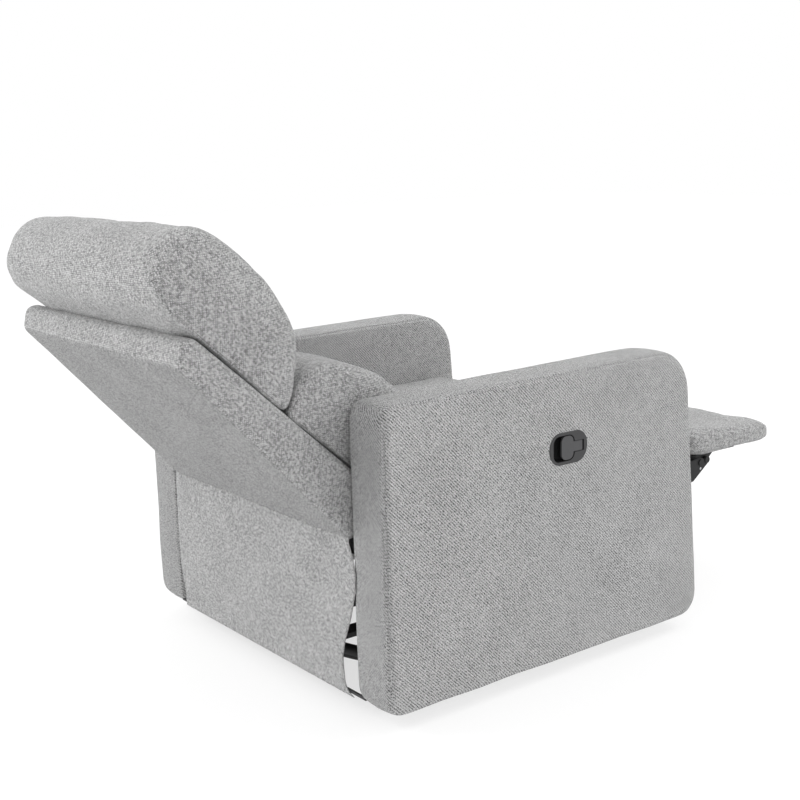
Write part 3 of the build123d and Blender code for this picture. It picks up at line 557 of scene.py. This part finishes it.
def weave_map(obj, tilt=0.0):
    """Lays the cloth's weave on each face from the side that it faces most."""
    mesh = obj.data
    layer = mesh.uv_layers.get("weave") or mesh.uv_layers.new(name="weave")
    co = points_of(obj)
    c, s = math.cos(-tilt), math.sin(-tilt)
    turn = np.array([[1, 0, 0], [0, c, -s], [0, s, c]])
    local = co @ turn.T
    corner = np.zeros(len(mesh.loops), np.int32)
    mesh.loops.foreach_get("vertex_index", corner)
    facing = np.zeros(len(mesh.polygons) * 3)
    mesh.polygons.foreach_get("normal", facing)
    facing = np.abs(facing.reshape(-1, 3) @ turn.T)
    sides = np.zeros(len(mesh.polygons), np.int32)
    mesh.polygons.foreach_get("loop_total", sides)
    side = np.repeat(facing.argmax(1), sides)
    p = local[corner]
    u = np.where(side == 0, p[:, 1], p[:, 0])
    v = np.where(side == 2, p[:, 1], p[:, 2])
    layer.data.foreach_set("uv", np.stack([u, v], 1).astype(np.float32).ravel())
    tone = mesh.attributes.get("shade") or mesh.attributes.new("shade", "FLOAT", "POINT")
    tone.data.foreach_set("value", np.ones(len(mesh.vertices), np.float32))


def darken(obj, chosen, amount):
    """Lowers the cloth's tone at the chosen points: painted shade on the back's rear face, and a
    darker rear face on each arm.
    """
    tone = np.ones(len(obj.data.vertices), np.float32)
    tone[chosen] = amount
    obj.data.attributes["shade"].data.foreach_set("value", tone)


def inflate(obj, pressure, cap, frames=20, shrink=0.0):
    """Swells the piece as stuffing does, by cloth simulation, no point moving past cap."""
    start = points_of(obj)
    cloth = obj.modifiers.new("cloth", "CLOTH")
    settings = cloth.settings
    settings.quality = 6
    settings.mass = 0.35
    settings.tension_stiffness = settings.compression_stiffness = 22
    settings.shear_stiffness = 12
    settings.bending_stiffness = 1.2
    settings.use_pressure = True
    settings.uniform_pressure_force = pressure
    settings.shrink_min = shrink
    settings.effector_weights.gravity = 0
    cloth.point_cache.frame_start = 1
    cloth.point_cache.frame_end = frames
    scene = bpy.context.scene
    for number in range(1, frames + 1):
        scene.frame_set(number)
    evaluated = obj.evaluated_get(bpy.context.evaluated_depsgraph_get())
    swollen = np.zeros(len(start) * 3)
    evaluated.data.vertices.foreach_get("co", swollen)
    move = swollen.reshape(-1, 3) - start
    length = np.linalg.norm(move, axis=1)
    scale = np.minimum(1.0, cap / np.maximum(length, 1e-9))
    obj.modifiers.remove(cloth)
    scene.frame_set(1)
    set_points(obj, start + move * scale[:, None])


def finish_soft(obj, body, node, material, tilt=0.0, levels=1):
    """The last steps that every padded piece shares."""
    subdivide(obj, levels)
    weave_map(obj, tilt)
    wear(obj, material)
    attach(obj, body)
    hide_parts(node)
    return obj


# ---- The upholstered pieces ---------------------------------------------
def arm_loop(step):
    front, rear = ARM_LOW.y - ARM_FRONT_EASE, ARM_HIGH.y + ARM_REAR_EASE
    low, high = ARM_LOW.z, ARM_HIGH.z
    corners = [(front, low), (front + 41 * MM, high), (rear, high - 11 * MM), (rear, low)]
    return rounded_loop(corners, np.array([40, 87, 24, 34]) * MM, step)


def make_arm(side, cloth):
    """One padded arm: side is -1 on the sitter's right, where the release handle is."""
    name = "left" if side > 0 else "right"
    low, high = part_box(f"arm_cover_{name}")
    pillow = Pillow(arm_loop(11 * MM), low.x, high.x, 13 * MM, step=13 * MM, crown=2.0 * MM,
                    end_crown=2.5 * MM, seam_depth=2.2 * MM, seam_turn=0.45)
    obj = pillow.build(f"arm_{name}_upholstery")
    rumple(obj, 0.16, 0.9 * MM, 3 + side)
    subdivide(obj)
    if side < 0:
        cut_handle_pocket(obj)
    weave_map(obj)
    co = points_of(obj)
    # The arm's rear face, over its last 6 mm, is darker, at 0.84 of its tone.
    darken(obj, co[:, 1] > high.y - 6 * MM, 0.84)
    wear(obj, cloth)
    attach(obj, "chassis")
    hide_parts(f"arm_cover_{name}")


def cut_handle_pocket(arm):
    """Opens the cloth under the bezel's rim, so that its dish can stand in the arm."""
    rim = 5 * MM
    low, high = BEZEL_LOW, BEZEL_HIGH
    corners = [(low.y + rim, low.z + rim), (high.y - rim, low.z + rim),
               (high.y - rim, high.z - rim), (low.y + rim, high.z - rim)]
    loop = rounded_loop(corners, 22 * MM, 5 * MM)
    count = len(loop)
    points = [(x, a, b) for x in (low.x - 0.01, high.x + 0.006) for a, b in loop]
    faces = [tuple(range(count)), tuple(range(count, 2 * count))]
    faces += [(k, (k + 1) % count, count + (k + 1) % count, count + k) for k in range(count)]
    cutter = make_object("pocket_cutter", points, faces)
    cut = arm.modifiers.new("pocket", "BOOLEAN")
    cut.operation = "DIFFERENCE"
    cut.solver = "EXACT"
    cut.object = cutter
    apply_modifiers(arm)
    bpy.data.objects.remove(cutter)
    arm.data.set_sharp_from_angle(angle=math.radians(50))


def back_point(s, t):
    """A side-view point from distances in millimetres along and out from the back's seam."""
    return SEAM_LOW + s * MM * SEAM_UP + t * MM * SEAM_OUT


def make_back_frame(cloth):
    """The upholstered shell behind the back's cushions."""
    corners = [np.array(c) * MM for c in ((381, 314), (682, 647), (672, 684), (650, 689))]
    corners.append(back_point(-110, 0))
    loop = rounded_loop(corners, np.array([8, 15, 12, 5, 8]) * MM, 7 * MM)
    pillow = Pillow(loop, -BACK_HALF, BACK_HALF, 9 * MM, step=12 * MM, crown=1.0 * MM,
                    end_crown=1.0 * MM, seam_depth=1.6 * MM, seam_turn=0.5)
    obj = pillow.build("back_upholstery")
    rumple(obj, 0.13, 0.7 * MM, 21)
    finish_soft(obj, "back", "back_cover", cloth, tilt=BACK_TILT)
    # Painted shade: the back's rear face, which turns down and back, is darkened to 0.8 of its tone.
    darken(obj, normals_of(obj) @ np.array([0, 0.745, -0.667]) > 0.9, 0.8)


def soften_free_side(loop, swell):
    """Rounds and swells a cushion's outline where it stands clear of the back's seam line."""
    for _ in range(FREE_SIDE_PASSES):
        away = (loop - SEAM_LOW) @ SEAM_OUT
        free = np.clip((away - 12 * MM) / (50 * MM), 0, 1)[:, None]
        even = 0.5 * loop + 0.25 * (np.roll(loop, 1, 0) + np.roll(loop, -1, 0))
        loop = loop * (1 - free) + even * free
    return loop + outward(loop) * free * swell * MM, away


def back_cushion(name, node, stations, radii, end_radius, crown, end_crown, cap, seed, cloth,
                 swell=5.0, narrow=0.0):
    """A pillow on the back, from its side outline in (along, away) from the seam line."""
    corners = [back_point(s, t) for s, t in stations]
    outline = rounded_loop(corners, np.array(radii) * MM, 8 * MM)
    loop, away = soften_free_side(outline, swell)
    tight = 0.12 + 0.88 * np.clip(away / (55 * MM), 0, 1) ** 1.5
    half = BACK_HALF - narrow * MM
    pillow = Pillow(loop, -half, half, end_radius * MM, step=11 * MM, crown=crown * MM,
                    end_crown=end_crown * MM, seam_depth=2.0 * MM, seam_turn=0.42, tight=tight)
    obj = pillow.build(name)
    rumple(obj, 0.11, 1.4 * MM, seed)
    inflate(obj, 4.0, cap * MM)
    finish_soft(obj, "back", node, cloth, tilt=BACK_TILT)


def make_back_cushions(cloth):
    headrest = [(153, 2), (392, 2), (425, 4), (470, 22), (492, 75), (476, 132), (400, 141),
                (300, 136), (216, 120), (168, 80)]
    back_cushion("headrest_pillow", "headrest_cushion", headrest,
                 [8, 10, 28, 28, 40, 30, 60, 60, 60, 14], 46, 3, 5, 5, 31, cloth,
                 swell=14.0)
    lumbar = [(-201, 2), (148, 2), (160, 80), (129, 120), (70, 144), (-20, 164), (-120, 166),
              (-199, 150)]
    back_cushion("lumbar_pillow", "lumbar_cushion", lumbar,
                 [28, 8, 16, 40, 60, 60, 60, 36], 26, 3, 4, 5, 32, cloth,
                 narrow=9.0)


def make_seat(cloth):
    front, rear = SEAT_LOW.y, SEAT_HIGH.y
    low, high = SEAT_LOW.z, SEAT_HIGH.z
    corners = [(front, high - 4 * MM), (front, low + 80 * MM), (front + 80 * MM, low),
               (rear - 26 * MM, low), (rear, high)]
    loop = rounded_loop(corners, np.array([36, 14, 10, 10, 30]) * MM, 8 * MM)
    pillow = Pillow(loop, SEAT_LOW.x, SEAT_HIGH.x, 20 * MM, step=12 * MM, crown=2 * MM,
                    end_crown=2 * MM, seam_depth=2.0 * MM, seam_turn=0.5)
    obj = pillow.build("seat_pad")
    rumple(obj, 0.12, 1.4 * MM, 41)
    inflate(obj, 3.0, 5 * MM)
    finish_soft(obj, "chassis", "seat_cushion", cloth)


def make_footrest(cloth):
    """The footrest's pad, thinner towards its front edge."""
    front = PAD_LOW.y - FOOTREST_FRONT_EASE
    corners = [(PAD_LOW.x, front), (PAD_HIGH.x, front), (PAD_HIGH.x, PAD_HIGH.y),
               (PAD_LOW.x, PAD_HIGH.y)]
    loop = rounded_loop(corners, 38 * MM, 9 * MM)
    low = BOARD_LOW.z + 0.5 * MM
    pillow = Pillow(loop, low, PAD_HIGH.z, 14 * MM, step=6 * MM, end_crown=0.5 * MM,
                    seam_depth=1.8 * MM, seam_turn=0.6, upright=True)
    obj = pillow.build("footrest_upholstery")
    co = points_of(obj)
    depth = (PAD_HIGH.y - co[:, 1]) / (PAD_HIGH.y - front)
    height = np.clip((co[:, 2] - low) / (PAD_HIGH.z - low), 0, 1)
    co[:, 2] -= 22 * MM * depth * height
    set_points(obj, co)
    rumple(obj, 0.07, 1.3 * MM, 51)
    inflate(obj, 3.0, 4 * MM)
    finish_soft(obj, "footrest", "footrest_pad", cloth)
    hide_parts("footrest_pad", "footrest_board")


# The rear skirt's right edge, as a distance from the middle, at each height, in millimetres
SKIRT_RIGHT_EDGE = ((34, 296), (38, 286), (44, 277), (56, 271), (80, 271), (104, 275), (140, 288),
                    (182, 306), (225, 320), (262, 324), (290, 317), (315, 305), (324, 303))
SKIRT_LEFT_X = 304


def make_rear_skirt(cloth):
    """The panel below the back, from the back's lower edge to the rail near the floor."""
    heights, reaches = (np.array(c, float) * MM for c in zip(*SKIRT_RIGHT_EDGE))
    rows, columns = 60, 84
    points = []
    for z in np.linspace(heights[0], heights[-1], rows):
        reach = np.interp(z, heights, reaches)
        tuck = 3.0 * MM * max(0.0, (z - 312 * MM) / (12 * MM)) ** 2
        for x in np.linspace(-reach, SKIRT_LEFT_X * MM, columns):
            points.append((x, SKIRT_LOW.y + 1.0 * MM - tuck, z))
    co = np.array(points)
    up = (co[:, 2] - heights[0]) / (heights[-1] - heights[0])
    belly = np.sin(np.pi * np.clip(up, 0, 1))
    drape = smooth_noise(co * np.array([1.0, 1.0, 0.35]), 0.12, 61)
    clear = np.clip((co[:, 2] - 60 * MM) / (80 * MM), 0, 1)
    co[:, 1] += belly * (2.0 * MM + 1.2 * MM * drape) + clear ** 2 * (3 - 2 * clear) * 6.5 * MM
    obj = make_object("rear_skirt_cloth", co, grid_faces(rows, columns))
    thick = obj.modifiers.new("thickness", "SOLIDIFY")
    thick.thickness = 1.4 * MM
    thick.offset = 0.0
    apply_modifiers(obj)
    weave_map(obj)
    wear(obj, cloth)
    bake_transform(obj)
    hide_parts("rear_skirt")


def make_crevice_cloth(cloth):
    """The thin cloth that closes the gap between the seat and the back."""
    rows, columns = 14, 40
    start = np.array([100.5, 297.0]) * MM
    end = np.array([280.0, 237.0]) * MM
    points = []
    for f in np.linspace(0, 1, rows):
        y, z = start + (end - start) * f
        sag = 5 * MM * math.sin(math.pi * f)
        for x in np.linspace(CLOTH_LOW.x, CLOTH_HIGH.x, columns):
            points.append((x, y, z - sag))
    obj = make_object("crevice_sheet", points, grid_faces(rows, columns))
    thick = obj.modifiers.new("thickness", "SOLIDIFY")
    thick.thickness = 0.8 * MM
    apply_modifiers(obj)
    weave_map(obj)
    wear(obj, cloth)
    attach(obj, "chassis")
    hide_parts("crevice_cloth")


# ---- Build --------------------------------------------------------------
cover_cloth = tweed("grey_tweed", (0.06, 0.32, 0.68), pitch=2.4 * MM, contrast=1.25)
arm_cloth = tweed("grey_tweed_arms", (0.006, 0.195, 0.74), pitch=1.5 * MM, contrast=3.2,
                  pattern_and_groove_shade=1.5, twill=True)
deck_cloth = plain_cloth("deck_cloth", 0.012, 0.04, 1.2 * MM)
make_arm(-1, arm_cloth)
make_arm(1, arm_cloth)
make_back_frame(cover_cloth)
make_back_cushions(cover_cloth)
make_seat(cover_cloth)
make_footrest(cover_cloth)
make_rear_skirt(cover_cloth)
make_crevice_cloth(deck_cloth)
paint_cad_nodes()
make_light()
make_camera()
